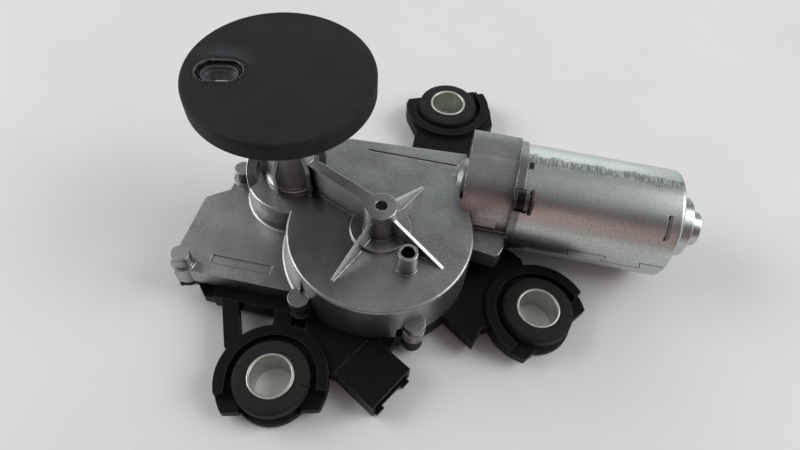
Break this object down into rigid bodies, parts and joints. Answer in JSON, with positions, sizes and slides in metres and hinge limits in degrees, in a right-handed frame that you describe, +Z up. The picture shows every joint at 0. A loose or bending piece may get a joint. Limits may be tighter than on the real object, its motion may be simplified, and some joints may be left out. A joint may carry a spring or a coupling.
{
  "type": "wiper motor",
  "caption": "Rear wiper motor: die-cast worm gearbox, steel motor can, black bracket on three rubber bushes, and an output tower with a round slotted drive disc.",
  "frame": {"origin": "centre of the corner mounting sleeve at its lower face", "axes": "+Z up along the output shaft and the mounting sleeves, +X along the motor shaft towards the closed end of the can, +Y to the rear"},
  "size_m": [0.1884, 0.1728, 0.0797],
  "materials": {
    "cast_aluminium": "satin die-cast, brighter on the edges",
    "black_moulding": "glass-filled moulding, lightly grained",
    "disc_moulding": "fine matt moulding, dark charcoal",
    "grey_insert": "smooth moulding",
    "grommet_rubber": "matt rubber",
    "gasket_rubber": "thin moulded seal",
    "zinc_plated_steel": "zinc plate with a faint blue-green cast",
    "sleeve_steel": "zinc plate, pale",
    "dark_screw": "dark red-brown plated",
    "spring_steel": "bright rolled",
    "shaft_steel": "ground",
    "lamination_steel": "stamped",
    "sintered_bronze": "sintered",
    "copper_bar": "turned",
    "copper_wire": "enamelled",
    "tinned_contact": "tinned",
    "ferrite": "ground ferrite",
    "carbon": "pressed carbon",
    "brown_laminate": "moulded carrier",
    "white_nylon": "moulded nylon"
  },
  "bodies": {
    "case": {"gear_housing": "cast_aluminium", "cover_gasket": "gasket_rubber", "bracket_cover": "black_moulding", "cover_screws": "dark_screw", "connector_shell": "black_moulding", "connector_terminals": "tinned_contact", "contact_plate": "brown_laminate", "park_contacts": "tinned_contact", "motor_yoke": "zinc_plated_steel", "motor_screws": "dark_screw", "magnet_upper": "ferrite", "magnet_lower": "ferrite", "magnet_clips": "spring_steel", "brush_card": "brown_laminate", "carbon_brushes": "carbon", "brush_springs": "spring_steel", "choke_coils": "copper_wire", "tail_bearing": "sintered_bronze", "middle_bearing": "sintered_bronze", "end_bearing": "sintered_bronze", "thrust_pad": "white_nylon", "wheel_bush": "sintered_bronze", "lower_bush": "sintered_bronze", "upper_bush": "sintered_bronze", "shaft_seal": "grommet_rubber", "shaft_washer": "spring_steel", "corner_sleeve": "sleeve_steel", "corner_grommet": "grommet_rubber", "front_sleeve": "sleeve_steel", "front_grommet": "grommet_rubber", "rear_sleeve": "sleeve_steel", "rear_grommet": "grommet_rubber"},
    "armature": {"armature_shaft": "shaft_steel", "armature_core": "lamination_steel", "armature_windings": "copper_wire", "commutator": "copper_bar"},
    "wheel": {"worm_wheel": "white_nylon", "wheel_axle": "shaft_steel", "contact_disc": "copper_bar"},
    "output": {"output_shaft": "shaft_steel", "output_pinion": "shaft_steel", "drive_disc": "disc_moulding", "slot_insert": "grey_insert", "retaining_ring": "spring_steel"},
    "link": {"guide_link": "lamination_steel", "sector_pivot": "shaft_steel"},
    "rod": {"sector_rod": "lamination_steel", "crank_pin": "shaft_steel"}
  },
  "joints": [
    {"name": "armature_spin", "type": "hinge", "parent": "case", "child": "armature", "pos_m": [0, 0.0411, 0.023], "axis": [1, 0, 0], "continuous": true},
    {"name": "wheel_turn", "type": "hinge", "parent": "case", "child": "wheel", "pos_m": [-0.0616, 0.0088, 0.023], "axis": [0, 0, 1], "continuous": true},
    {"name": "output_turn", "type": "hinge", "parent": "case", "child": "output", "pos_m": [-0.0983, 0.0257, 0.04], "axis": [0, 0, 1], "range_deg": [0, 110]},
    {"name": "link_swing", "type": "hinge", "parent": "case", "child": "link", "pos_m": [-0.0983, 0.0257, 0.007], "axis": [0, 0, 1], "range_deg": [0, 38.51]},
    {"name": "rod_turn", "type": "hinge", "parent": "link", "child": "rod", "pos_m": [-0.10489, 0.00682, 0.009], "axis": [0, 0, 1], "range_deg": [-38.51, 0]}
  ],
  "couplings": [
    {"joint": "wheel_turn", "follows": "armature_spin", "ratio": 0.016667},
    {"joint": "link_swing", "follows": "output_turn", "ratio": 0.35},
    {"joint": "rod_turn", "follows": "output_turn", "ratio": -0.35}
  ]
}
